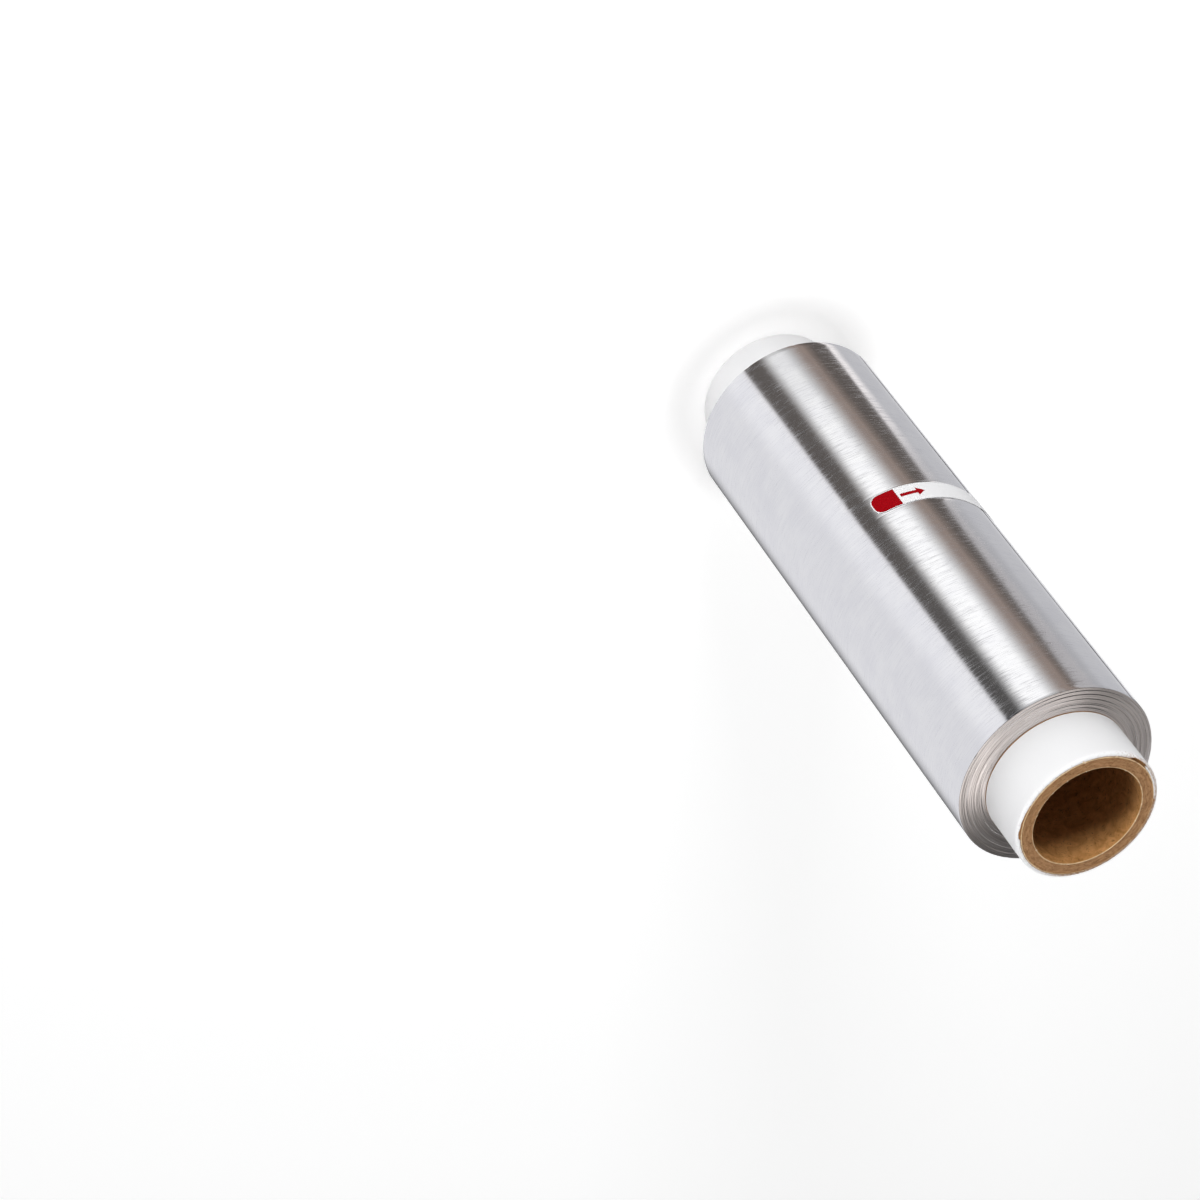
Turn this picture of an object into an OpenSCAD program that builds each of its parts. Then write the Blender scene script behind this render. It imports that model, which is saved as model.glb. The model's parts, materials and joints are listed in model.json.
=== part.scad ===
// Catering roll of aluminium foil, wound on a cardboard core and held shut by a paper label.
// It stands on its lower core end: the origin is the centre of that end, and +Z runs up the axis.
// The free edge of the foil is at the back left, and the label's pull tab points to the front.

/* [Foil] */
// Width of the foil, which is the height of the winding
foil_width = 300; // [200:5:450]
// Length of foil on the roll, in metres
foil_length_m = 300; // [80:10:400]
// Thickness that one turn adds, with the air wound in beside it
turn_pitch = 0.0125; // [0.01:0.0005:0.02]
// Number of bands that the turns form on the end faces
band_count = 14; // [6:1:18]
// How far a band of turns stands out of or sinks into the end face
band_height = 0.22; // [0.05:0.01:0.5]
// Softening of the outer edge where the last turns have been knocked
edge_soft = 0.3; // [0.1:0.05:0.8]

/* [Free edge] */
// Direction of the foil's free edge, seen from above
tail_angle = -168; // [-180:1:-140]
// How far the free edge stands off the turns below it
tail_lift = 0.35; // [0.15:0.05:0.8]
// Length of foil behind the free edge that has sprung off the roll
tail_reach = 34; // [15:1:38]

/* [Core] */
// Diameter of the hole through the core
bore_d = 56.4; // [40:0.2:76]
// Wall of the brown cardboard tube
tube_wall = 6.2; // [3:0.1:10]
// Thickness of the white facing round the tube
facing_t = 2.4; // [0.8:0.1:4]
// Length of core that stands out above the foil
overhang_top = 32; // [10:1:60]
// Length of core that stands out below the foil
overhang_bottom = 31; // [10:1:60]
// Rounding of the white facing's outer lip
lip_r = 1.6; // [0.4:0.1:2]
// How far the facing's lip stops short of the tube's cut end
lip_setback = 0.4; // [0.2:0.1:1]
// Bevel on the tube's inner and outer rims
rim_bevel = 0.5; // [0.2:0.1:0.8]

/* [Closing label] */
// Width of the label, along the roll
label_width = 13.6; // [10:0.2:25]
// Thickness of the label's paper
label_t = 0.12; // [0.08:0.01:0.3]
// Height of the label's middle above the foil's lower edge
label_height = 136.7; // [40:0.1:180]
// Length of label from its tab to the foil's free edge
label_front_length = 62; // [45:1:90]
// Length of label stuck down behind the foil's free edge
label_back_length = 38; // [20:1:60]
// Length of label that bridges the step at the free edge
label_bridge_length = 2.2; // [1:0.2:5]
// Corner radius of the pull tab
tab_corner = 5.2; // [2:0.2:6]

/* [Label print] */
// White margin round the coloured field of the tab
print_margin = 0.5; // [0.3:0.1:1.5]
// Length of the coloured field
field_length = 13.4; // [8:0.2:15]
// Gap between the coloured field and the arrow
arrow_gap = 1.4; // [0.6:0.1:4]
// Length of the arrow
arrow_length = 13.2; // [8:0.2:15]
// Length of the arrow's head
arrow_head = 4.2; // [2:0.1:6]
// Width of the arrow's head
arrow_head_w = 6.4; // [3:0.1:7.5]
// Width of the arrow's shaft
arrow_shaft_w = 2.3; // [1:0.1:2.8]
// Thickness of the ink, drawn thicker than real ink
ink_t = 0.03; // [0.02:0.01:0.06]

/* [Hidden] */
$fn = 96;

bore_r = bore_d / 2;
tube_r = bore_r + tube_wall;
core_r = tube_r + facing_t;
core_length = overhang_bottom + foil_width + overhang_top;
foil_low = overhang_bottom;
// The wound foil fills the ring between the core and the outside of the roll.
roll_r = sqrt(core_r * core_r + foil_length_m * 1000 * turn_pitch / PI);
// Roundings stay within the wall and the label that carry them.
lip = min(lip_r, facing_t - 0.2);
corner = min(tab_corner, label_width / 2 - 0.5);

band_depth = (roll_r - core_r) / band_count;
band_waver = 0.3;
golden_angle = 137.508;
tail_facets = 20;
past_facets = 4;
tail_root = 0.5;
tail_close = 0.06;
arc_steps = 10;
lap_turn = 0.4;
prism_root = 1;
prism_height = 3;
waste_margin = 1;
// Keeps the label's flat facets off the round foil behind the sprung tail.
seat_clear = 0.01;

label_z = foil_low + label_height;
deg_per_mm = 180 / (PI * roll_r);
tab_angle = tail_angle + label_front_length * deg_per_mm;
bridge_turn = label_bridge_length * deg_per_mm;
back_turn = label_back_length * deg_per_mm;
reach_turn = tail_reach * deg_per_mm;
paper_r = roll_r + label_t;

// Rise of a band on the upper face. The lower face follows it, as every turn has one width.
function band_rise(i) = band_height * sin(i * golden_angle);

// Radius at which band i starts. The bands waver in depth, and the first and last are exact.
function band_edge(i) =
    i <= 0 ? core_r :
    i >= band_count ? roll_r :
    core_r + band_depth * (i + band_waver * sin(i * golden_angle * 2));

// Height of the sprung tail above the roll, at a share of the way back from its free edge.
function tail_height(share) = tail_lift * pow(1 - share, 1.5) - tail_close * share;

// Surface that the label lies on, by the angle behind the free edge.
function seat_height(turn) =
    turn < 0 ? tail_lift * (1 + turn / bridge_turn) :
    turn >= reach_turn ? seat_clear :
    max(seat_clear, tail_height(turn / reach_turn));

// Point at a radius and an angle behind the free edge.
function behind(r, turn) = [r * cos(tail_angle - turn), r * sin(tail_angle - turn)];

// Angles of the tail's facets behind the free edge, from one angle to another.
function turns(from, to, count) = [for (i = [0 : count]) from + (to - from) * i / count];

// Quarter round from the lower edge of a corner to its left edge, with the corner at the origin.
function corner_arc(r) = [for (i = [0 : arc_steps]) let (a = 270 - 90 * i / arc_steps)
    [r + r * cos(a), r + r * sin(a)]];

module core_tube() {
    color("#a98457")
        rotate_extrude() polygon([
            [bore_r + rim_bevel, 0], [tube_r - rim_bevel, 0],
            [tube_r, rim_bevel], [tube_r, core_length - rim_bevel],
            [tube_r - rim_bevel, core_length], [bore_r + rim_bevel, core_length],
            [bore_r, core_length - rim_bevel], [bore_r, rim_bevel]
        ]);
}

// Half outline of the facing: straight wall with a rounded lip at each end.
module facing_profile() {
    low = lip_setback;
    high = core_length - lip_setback;
    lower_lip = [for (i = [0 : arc_steps]) let (a = 270 + 90 * i / arc_steps)
        [core_r - lip + lip * cos(a), low + lip + lip * sin(a)]];
    upper_lip = [for (i = [0 : arc_steps]) let (a = 90 * i / arc_steps)
        [core_r - lip + lip * cos(a), high - lip + lip * sin(a)]];
    polygon(concat([[tube_r, low]], lower_lip, upper_lip, [[tube_r, high]]));
}

module core_facing() {
    color("#f6f4f1") rotate_extrude() facing_profile();
}

// Half outline of the winding. Each band of turns has its own level on both end faces.
module winding_profile() {
    rise_out = band_rise(band_count - 1);
    low = [for (i = [0 : band_count - 1], end = [0, 1])
        [band_edge(i + end) - (i + end == band_count ? edge_soft : 0), foil_low + band_rise(i)]];
    high = [for (i = [band_count - 1 : -1 : 0], end = [1, 0])
        [band_edge(i + end) - (i + end == band_count ? edge_soft : 0),
         foil_low + foil_width + band_rise(i)]];
    polygon(concat(
        low,
        [[roll_r, foil_low + rise_out + edge_soft],
         [roll_r, foil_low + foil_width + rise_out - edge_soft]],
        high
    ));
}

// The last turn's end, which has sprung a little off the roll behind its free edge.
module tail() {
    outer = [for (turn = turns(0, reach_turn, tail_facets))
        behind(roll_r + tail_height(turn / reach_turn), turn)];
    inner = [for (turn = turns(reach_turn, 0, tail_facets)) behind(roll_r - tail_root, turn)];
    translate([0, 0, foil_low + band_rise(band_count - 1)])
        linear_extrude(foil_width) polygon(concat(outer, inner));
}

module foil_winding() {
    color("#c9cacd") union() {
        rotate_extrude() winding_profile();
        tail();
    }
}

// Sector of a thin ring at the label's height, from the tab's end to the start of the bridge.
module front_ring(r, thick, wide) {
    translate([0, 0, label_z])
        rotate([0, 0, tail_angle + bridge_turn])
            rotate_extrude(angle = tab_angle - tail_angle - bridge_turn)
                translate([r, -wide / 2]) square([thick, wide]);
}

// Stretch of label that climbs the step and lies on the sprung tail. It starts as a tongue in
// the middle of the front stretch's paper, so that the two are one sheet.
module label_over_tail() {
    tongue = [-bridge_turn - lap_turn, -bridge_turn + lap_turn];
    on_tail = turns(0, reach_turn, tail_facets);
    past = turns(reach_turn, max(back_turn, reach_turn + 1), past_facets);
    path = concat(
        [-bridge_turn / 2],
        [for (turn = concat(on_tail, past)) if (turn < back_turn - 0.01) turn],
        [back_turn]
    );
    last = len(path) - 1;
    inner = [for (turn = path) behind(roll_r + seat_height(turn), turn)];
    outer = [for (i = [last : -1 : 0])
        behind(roll_r + seat_height(path[i]) + label_t, path[i])];
    translate([0, 0, label_z - label_width / 2])
        linear_extrude(label_width) polygon(concat(
            [for (i = [0, 1]) behind(roll_r + label_t / 3, tongue[i])], inner,
            outer, [for (i = [1, 0]) behind(roll_r + label_t * 2 / 3, tongue[i])]
        ));
}

// Prism that stands out of the roll over the tab. Its outline is drawn with x as the distance
// back from the tab's end, and y as the height above the label's middle.
module over_tab(distance) {
    rotate([0, 0, tab_angle - distance * deg_per_mm])
        translate([roll_r - prism_root, 0, label_z])
            rotate([90, 0, 90])
                linear_extrude(prism_height) translate([distance, 0]) children();
}

// Waste that is cut away outside one rounded corner of the tab, at the lower (-1) or upper (1) side.
module corner_waste(side) {
    points = concat(
        [[-waste_margin, -waste_margin], [corner, -waste_margin]],
        corner_arc(corner),
        [[-waste_margin, corner]]
    );
    over_tab(0) polygon([for (p = points) [-p[0], side * (label_width / 2 - p[1])]]);
}

// Coloured field of the tab, which follows the tab's rounded corners inside a white margin.
module field_outline() {
    half = label_width / 2 - print_margin;
    r = corner - print_margin;
    lower = [for (p = corner_arc(r)) [-print_margin - p[0], p[1] - half]];
    upper = [for (i = [arc_steps : -1 : 0]) [lower[i][0], -lower[i][1]]];
    far = -print_margin - field_length;
    polygon(concat([[far, -half]], lower, upper, [[far, half]]));
}

module arrow_outline() {
    start = -print_margin - field_length - arrow_gap;
    neck = start - arrow_length + arrow_head;
    tip = start - arrow_length;
    shaft = arrow_shaft_w / 2;
    head = arrow_head_w / 2;
    polygon([[start, -shaft], [neck, -shaft], [neck, -head], [tip, 0],
             [neck, head], [neck, shaft], [start, shaft]]);
}

// A layer of ink, which soaks half way into the paper and stands a hair proud of it.
module ink_layer() {
    front_ring(paper_r - label_t / 2, label_t / 2 + ink_t, label_width);
}

module label_print() {
    field_middle = print_margin + field_length / 2;
    arrow_middle = print_margin + field_length + arrow_gap + arrow_length / 2;
    color("#a8000f") {
        intersection() {
            ink_layer();
            over_tab(field_middle) field_outline();
        }
        intersection() {
            ink_layer();
            over_tab(arrow_middle) arrow_outline();
        }
    }
}

module closing_label() {
    color("#fbfbfb") difference() {
        union() {
            front_ring(roll_r, label_t, label_width);
            label_over_tail();
        }
        corner_waste(-1);
        corner_waste(1);
    }
    label_print();
}

core_tube();
core_facing();
foil_winding();
closing_label();
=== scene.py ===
"""Looks of a catering roll of aluminium foil on its cardboard core, held shut by a paper label.

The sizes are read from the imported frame. Each piece is first drawn unrolled, with x as the angle
round the axis, y as the distance from it and z as the height, and a Geometry Nodes tree winds it up.
A second tree sets the torn flakes on the lips of the tube's cut ends.
"""
import json
import logging
import math
from dataclasses import dataclass, field
from enum import Enum
from typing import Any

import bpy
import numpy as np
from mathutils import Matrix, Vector


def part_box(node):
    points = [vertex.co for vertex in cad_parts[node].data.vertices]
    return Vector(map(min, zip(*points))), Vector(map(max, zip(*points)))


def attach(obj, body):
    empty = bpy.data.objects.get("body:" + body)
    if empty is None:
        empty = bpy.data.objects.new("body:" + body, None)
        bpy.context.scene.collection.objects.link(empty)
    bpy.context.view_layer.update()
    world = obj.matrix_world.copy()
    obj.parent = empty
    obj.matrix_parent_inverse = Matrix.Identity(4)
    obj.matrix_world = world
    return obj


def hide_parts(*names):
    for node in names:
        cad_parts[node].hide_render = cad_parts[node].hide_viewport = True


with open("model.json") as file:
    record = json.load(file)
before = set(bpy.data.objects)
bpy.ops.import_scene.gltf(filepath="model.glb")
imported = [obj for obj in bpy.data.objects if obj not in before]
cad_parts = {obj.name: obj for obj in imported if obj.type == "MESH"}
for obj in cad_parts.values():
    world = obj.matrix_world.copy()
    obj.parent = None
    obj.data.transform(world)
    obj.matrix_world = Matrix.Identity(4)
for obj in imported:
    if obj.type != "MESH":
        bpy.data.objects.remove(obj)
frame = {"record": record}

log = logging.getLogger("foil_roll")

MM = 0.001
BODY = "root"
GOLDEN_ANGLE = math.radians(137.508)


class Slot(Enum):
    """Material slots of the record, one for each kind of piece; nothing reads them."""

    BOARD = "brown_board"
    FACING = "white_facing"
    FOIL = "foil"
    LABEL = "label_paper"


class End(Enum):
    """The two ends of the roll, by the direction in which each faces."""

    LOWER = -1
    UPPER = 1


def linear(colour: str) -> tuple[float, float, float, float]:
    """Turns an sRGB hex colour into the linear values that shaders use.

    Args:
        colour: Colour such as "#a98457".

    Returns:
        Red, green, blue and an opaque alpha.
    """
    shares = [int(colour[i:i + 2], 16) / 255 for i in (1, 3, 5)]
    red, green, blue = (s / 12.92 if s <= 0.04045 else ((s + 0.055) / 1.055) ** 2.4 for s in shares)
    return red, green, blue, 1.0


def add_node(tree: bpy.types.NodeTree, kind: str, inputs: dict[Any, Any] | None = None,
             **settings: Any) -> bpy.types.Node:
    """Adds a node to a tree, sets its properties, and fills or joins its sockets.

    Args:
        tree: Node tree that takes the node.
        kind: Identifier of the node's type.
        inputs: Value, socket or node for each input, by the socket's name or number. A node stands
            for its first output.
        settings: Properties of the node itself.

    Returns:
        The new node.
    """
    node = tree.nodes.new(kind)
    for key, value in settings.items():
        setattr(node, key, value)
    for key, value in (inputs or {}).items():
        source = value.outputs[0] if isinstance(value, bpy.types.Node) else value
        if isinstance(source, bpy.types.NodeSocket):
            tree.links.new(source, node.inputs[key])
        else:
            node.inputs[key].default_value = source
    return node


def add_object(name: str, data: bpy.types.ID) -> bpy.types.Object:
    """Puts new data into the scene.

    Args:
        name: Name of the object.
        data: Its mesh, lamp or camera.

    Returns:
        The object, at the origin.
    """
    thing = bpy.data.objects.new(name, data)
    bpy.context.scene.collection.objects.link(thing)
    return thing


def new_material(name: str) -> tuple[bpy.types.Material, bpy.types.NodeTree]:
    """Makes an empty material.

    Args:
        name: Name of the material.

    Returns:
        The material and its node tree.
    """
    material = bpy.data.materials.new(name)
    material.use_nodes = True
    material.node_tree.nodes.clear()
    return material, material.node_tree


def add_surface(tree: bpy.types.NodeTree, inputs: dict[Any, Any]) -> None:
    """Adds the Principled shader of a finish and joins it to the material's output.

    Args:
        tree: The material's node tree.
        inputs: Value, socket or node for each of the shader's inputs that isn't left alone.
    """
    shader = add_node(tree, "ShaderNodeBsdfPrincipled", inputs)
    add_node(tree, "ShaderNodeOutputMaterial", {"Surface": shader})


def add_ring_place(tree: bpy.types.NodeTree, place: bpy.types.NodeSocket, turn: float,
                   width: float) -> tuple[bpy.types.Node, bpy.types.Node]:
    """Adds the position by which a pattern on an end face runs in rings round the axis.

    Args:
        tree: The material's node tree.
        place: Position on the piece.
        turn: Number of waves of the pattern in about a radian round the axis.
        width: Width of one ring.

    Returns:
        Node with the direction away from the axis, and node with the position in the pattern.
    """
    across = add_node(tree, "ShaderNodeVectorMath", {0: place, 1: (1, 1, 0)}, operation="MULTIPLY")
    radius = add_node(tree, "ShaderNodeVectorMath", {0: across}, operation="LENGTH").outputs["Value"]
    outward = add_node(tree, "ShaderNodeVectorMath", {0: across}, operation="NORMALIZE")
    spread = add_node(tree, "ShaderNodeVectorMath", {0: outward, "Scale": turn}, operation="SCALE")
    parts = add_node(tree, "ShaderNodeSeparateXYZ", {0: spread}).outputs
    ring = add_node(tree, "ShaderNodeMath", {0: radius, 1: width}, operation="DIVIDE")
    return outward, add_node(tree, "ShaderNodeCombineXYZ", {0: parts[0], 1: parts[1], 2: ring})


def new_shape_tree(name: str, kinds: dict[str, str]) -> tuple[bpy.types.NodeTree, dict[str, str]]:
    """Makes a Geometry Nodes tree that has named inputs beside the geometry.

    Args:
        name: Name of the tree.
        kinds: Kind of socket of each input, by the input's name.

    Returns:
        The tree, and the identifier of each input's socket by the input's name.
    """
    tree = bpy.data.node_groups.new(name, "GeometryNodeTree")
    face = tree.interface
    face.new_socket("Geometry", in_out="INPUT", socket_type="NodeSocketGeometry")
    sockets = {key: face.new_socket(key, in_out="INPUT", socket_type=kind).identifier
               for key, kind in kinds.items()}
    face.new_socket("Geometry", in_out="OUTPUT", socket_type="NodeSocketGeometry")
    return tree, sockets


def shape_with_tree(mesh: bpy.types.Mesh, name: str, tree: bpy.types.NodeTree,
                    values: dict[str, Any]) -> bpy.types.Object:
    """Runs a Geometry Nodes tree on a mesh and turns the result into a plain object.

    Args:
        mesh: Mesh that the tree starts from.
        name: Name of the finished piece.
        tree: The tree.
        values: Value of each input, by the identifier of its socket.

    Returns:
        The finished object, at the origin and with no modifier.
    """
    source = add_object(name + "_source", mesh)
    modifier = source.modifiers.new("shape", "NODES")
    modifier.node_group = tree
    for identifier, value in values.items():
        modifier[identifier] = value
    bpy.context.view_layer.update()
    depsgraph = bpy.context.evaluated_depsgraph_get()
    result = bpy.data.meshes.new_from_object(source.evaluated_get(depsgraph))
    source.modifiers.clear()
    bpy.data.objects.remove(source)
    result.name = name
    return add_object(name, result)


def smooth_window(angle: np.ndarray, start: float, end: float, feather: float) -> np.ndarray:
    """Share from 0 to 1 that is full between two angles and fades out over a feather beyond them.

    Args:
        angle: Angles in degrees.
        start: Angle at which the window is first full.
        end: Angle at which it stops being full.
        feather: Width of the fade on each side.

    Returns:
        The share at each angle.
    """
    middle = (start + end) / 2
    away = np.abs((angle - middle + 180) % 360 - 180) - (end - start) / 2
    share = np.clip(1 - away / feather, 0, 1)
    return share * share * (3 - 2 * share)


@dataclass(frozen=True)
class RollSizes:
    """Main sizes of the roll in metres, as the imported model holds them."""

    bore_r: float
    tube_r: float
    core_r: float
    roll_r: float
    core_high: float
    foil_low: float
    foil_high: float
    label_low: float
    label_high: float
    tail_angle: float = -168.0
    tail_lift: float = 0.16 * MM
    tail_reach: float = 34 * MM
    label_front: float = 62 * MM
    label_back: float = 38 * MM
    label_bridge: float = 2.2 * MM

    @classmethod
    def from_frame(cls, record: dict[str, Any]) -> "RollSizes":
        """Reads the sizes from the nodes' boxes and from the bore's mount.

        Args:
            record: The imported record.

        Returns:
            The sizes of the roll.
        """
        bore = next(m for m in record["mounts"] if m["name"] == "core_bore")
        tube_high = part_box("core_tube")[1]
        facing_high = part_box("core_facing")[1]
        foil_low, foil_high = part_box("foil_winding")
        label_low, label_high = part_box("closing_label")
        return cls(
            bore_r=bore["dims"]["r_mm"] * MM, tube_r=tube_high.y, core_r=facing_high.y,
            roll_r=foil_high.y, core_high=tube_high.z, foil_low=foil_low.z, foil_high=foil_high.z,
            label_low=label_low.z, label_high=label_high.z,
        )

    def degrees(self, length: float) -> float:
        """Angle in degrees that a length takes round the outside of the roll."""
        return math.degrees(length / self.roll_r)

    @property
    def tab_angle(self) -> float:
        """Angle in degrees of the label's pull tab."""
        return self.tail_angle + self.degrees(self.label_front)

    @property
    def label_middle(self) -> float:
        """Height of the label's middle."""
        return (self.label_low + self.label_high) / 2

    @property
    def label_width(self) -> float:
        """Width of the label along the roll."""
        return self.label_high - self.label_low

    def tail_height(self, behind: np.ndarray) -> np.ndarray:
        """Height of the sprung turn above the roll.

        Args:
            behind: Distance in metres behind the free edge, round the roll.

        Returns:
            The height at each distance, which is nothing in front of the edge.
        """
        share = np.clip(behind / self.tail_reach, 0, 1)
        return np.where(behind < 0, 0, self.tail_lift * (1 - share) ** 1.5)


@dataclass(frozen=True)
class Relief:
    """Soft unevenness that is laid on a piece as it is wound up, with its lengths in metres."""

    dent_depth: float = 0.0
    dent_length: float = 30 * MM
    dent_turn: float = 3.0
    band_height: float = 0.0
    band_width: float = 1.0 * MM
    band_turn: float = 0.8
    seed: float = 0.0


class Winder:
    """Geometry Nodes tree that winds an unrolled piece round the roll's axis and dresses it."""

    SIZES = ("Outer Radius", "Dent Depth", "Dent Length", "Dent Turn", "Band Height", "Band Width",
             "Band Turn", "Seed")
    FINISHES = ("Wall", "Ends")
    SKIN = 0.6 * MM  # depth below the outside to which the dents reach
    END_SLOPE = 0.6  # share of a surface's normal along the axis past which it is part of an end

    def __init__(self) -> None:
        """Builds the tree once, for every piece to use."""
        kinds = {name: "NodeSocketFloat" for name in self.SIZES}
        kinds.update({name: "NodeSocketMaterial" for name in self.FINISHES})
        self.tree, self.sockets = new_shape_tree("wind_round_axis", kinds)
        self._build()

    def _build(self) -> None:
        """Adds the nodes: relief in the unrolled frame, then the winding, then the materials."""
        tree = self.tree
        given = add_node(tree, "NodeGroupInput").outputs
        flat = add_node(tree, "ShaderNodeSeparateXYZ", {0: add_node(tree, "GeometryNodeInputPosition")})
        angle, distance, along = flat.outputs
        cosine = add_node(tree, "ShaderNodeMath", {0: angle}, operation="COSINE")
        sine = add_node(tree, "ShaderNodeMath", {0: angle}, operation="SINE")

        dent = self._noise_round(cosine, sine, along, given["Dent Length"], given["Dent Turn"],
                                 given["Seed"])
        depth = add_node(tree, "ShaderNodeMath", {0: dent, 1: given["Dent Depth"]}, operation="MULTIPLY")
        skin = add_node(tree, "ShaderNodeMath", {0: given["Outer Radius"], 1: self.SKIN},
                        operation="SUBTRACT")
        outside = add_node(tree, "ShaderNodeMapRange", {0: distance, 1: skin, 2: given["Outer Radius"]},
                           interpolation_type="SMOOTHSTEP")
        inward = add_node(tree, "ShaderNodeMath", {0: depth, 1: outside}, operation="MULTIPLY")
        radius = add_node(tree, "ShaderNodeMath", {0: distance, 1: inward}, operation="SUBTRACT")

        band = self._noise_round(cosine, sine, distance, given["Band Width"], given["Band Turn"],
                                 given["Seed"])
        centred = add_node(tree, "ShaderNodeMath", {0: band, 1: 0.5}, operation="SUBTRACT")
        rise = add_node(tree, "ShaderNodeMath", {0: centred, 1: given["Band Height"]},
                        operation="MULTIPLY")
        height = add_node(tree, "ShaderNodeMath", {0: along, 1: rise}, operation="ADD")

        wound = add_node(tree, "ShaderNodeCombineXYZ", {
            0: add_node(tree, "ShaderNodeMath", {0: radius, 1: cosine}, operation="MULTIPLY"),
            1: add_node(tree, "ShaderNodeMath", {0: radius, 1: sine}, operation="MULTIPLY"),
            2: height,
        })
        moved = add_node(tree, "GeometryNodeSetPosition", {
            "Geometry": given["Geometry"], "Position": wound})
        smooth = add_node(tree, "GeometryNodeSetShadeSmooth", {"Geometry": moved})
        real = add_node(tree, "GeometryNodeRealizeInstances", {"Geometry": smooth})
        dressed = add_node(tree, "GeometryNodeSetMaterial", {
            "Geometry": real, "Material": given["Wall"]})
        normal = add_node(tree, "ShaderNodeSeparateXYZ", {0: add_node(tree, "GeometryNodeInputNormal")})
        steep = add_node(tree, "ShaderNodeMath", {0: normal.outputs[2]}, operation="ABSOLUTE")
        faces_end = add_node(tree, "ShaderNodeMath", {0: steep, 1: self.END_SLOPE},
                             operation="GREATER_THAN")
        ended = add_node(tree, "GeometryNodeSetMaterial", {
            "Geometry": dressed, "Selection": faces_end, "Material": given["Ends"]})
        add_node(tree, "NodeGroupOutput", {"Geometry": ended})

    def _noise_round(self, cosine: bpy.types.Node, sine: bpy.types.Node, along: bpy.types.NodeSocket,
                     length: bpy.types.NodeSocket, turn: bpy.types.NodeSocket,
                     seed: bpy.types.NodeSocket) -> bpy.types.Node:
        """Adds noise that closes on itself round the axis.

        Args:
            cosine: Cosine of the angle.
            sine: Sine of the angle.
            along: Radius or height that the noise runs along.
            length: Length of one wave along it.
            turn: Number of waves in about a radian round the axis.
            seed: Shift that makes one piece's noise differ from another's.

        Returns:
            The noise node.
        """
        tree = self.tree
        share = add_node(tree, "ShaderNodeMath", {0: along, 1: length}, operation="DIVIDE")
        vector = add_node(tree, "ShaderNodeCombineXYZ", {
            0: add_node(tree, "ShaderNodeMath", {0: cosine, 1: turn}, operation="MULTIPLY"),
            1: add_node(tree, "ShaderNodeMath", {0: sine, 1: turn}, operation="MULTIPLY"),
            2: share,
        })
        return add_node(tree, "ShaderNodeTexNoise", {
            "Vector": vector, "W": seed, "Scale": 1.0, "Detail": 1.0}, noise_dimensions="4D")

    def wind(self, mesh: bpy.types.Mesh, name: str, wall: bpy.types.Material,
             ends: bpy.types.Material | None = None, relief: Relief = Relief(),
             outer_radius: float = 1.0) -> bpy.types.Object:
        """Winds an unrolled mesh and returns it as a plain object.

        Args:
            mesh: Unrolled mesh of the piece.
            name: Name of the finished piece.
            wall: Finish of the surfaces that face away from the axis or to it.
            ends: Finish of the surfaces that face along the axis, if it differs.
            relief: Unevenness to lay on it.
            outer_radius: Radius of the piece's outside, where it has dents.

        Returns:
            The finished object, at the origin and with no modifier.
        """
        values = {
            "Outer Radius": outer_radius, "Dent Depth": relief.dent_depth,
            "Dent Length": relief.dent_length, "Dent Turn": relief.dent_turn,
            "Band Height": relief.band_height, "Band Width": relief.band_width,
            "Band Turn": relief.band_turn, "Seed": relief.seed, "Wall": wall, "Ends": ends or wall,
        }
        by_socket = {self.sockets[key]: value for key, value in values.items()}
        return shape_with_tree(mesh, name, self.tree, by_socket)


def grid_faces(columns: int, rows: int, closed: bool) -> np.ndarray:
    """Corners of the quads of a grid whose vertices run row by row within each column.

    Args:
        columns: Number of columns of vertices.
        rows: Number of rows of vertices.
        closed: Whether the last column and row join the first.

    Returns:
        Four vertex numbers for each face.
    """
    across = np.arange(columns if closed else columns - 1)
    along = np.arange(rows if closed else rows - 1)
    a, b = (x.ravel() for x in np.meshgrid(across, along, indexing="ij"))
    a_next, b_next = (a + 1) % columns, (b + 1) % rows
    return np.stack([a * rows + b, a_next * rows + b, a_next * rows + b_next, a * rows + b_next], 1)


def outline_mesh(name: str, radius: np.ndarray, height: np.ndarray,
                 wear_and_painted_light: np.ndarray | None = None) -> bpy.types.Mesh:
    """Unrolled mesh of a closed outline that is carried once round the axis.

    Args:
        name: Name of the mesh.
        radius: Distance from the axis, with one row for each step round it and one column for each
            point of the outline, which runs out along the lower end, up and back in.
        height: Height of the same points.
        wear_and_painted_light: Share of wear, and of painted light, at the same points, for the finish
            to show.

    Returns:
        The mesh.
    """
    steps, points = radius.shape
    angle = np.repeat(np.arange(steps) * math.tau / steps, points)
    vertices = np.stack([angle, radius.ravel(), height.ravel()], 1)
    mesh = bpy.data.meshes.new(name)
    mesh.from_pydata(vertices.tolist(), [], grid_faces(steps, points, closed=True).tolist())
    if wear_and_painted_light is None:
        wear_and_painted_light = np.zeros(radius.shape)
    wear_and_light_layer = mesh.attributes.new("wear_and_painted_light", "FLOAT", "POINT")
    wear_and_light_layer.data.foreach_set("value", wear_and_painted_light.ravel().astype(np.float32))
    return mesh


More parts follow.
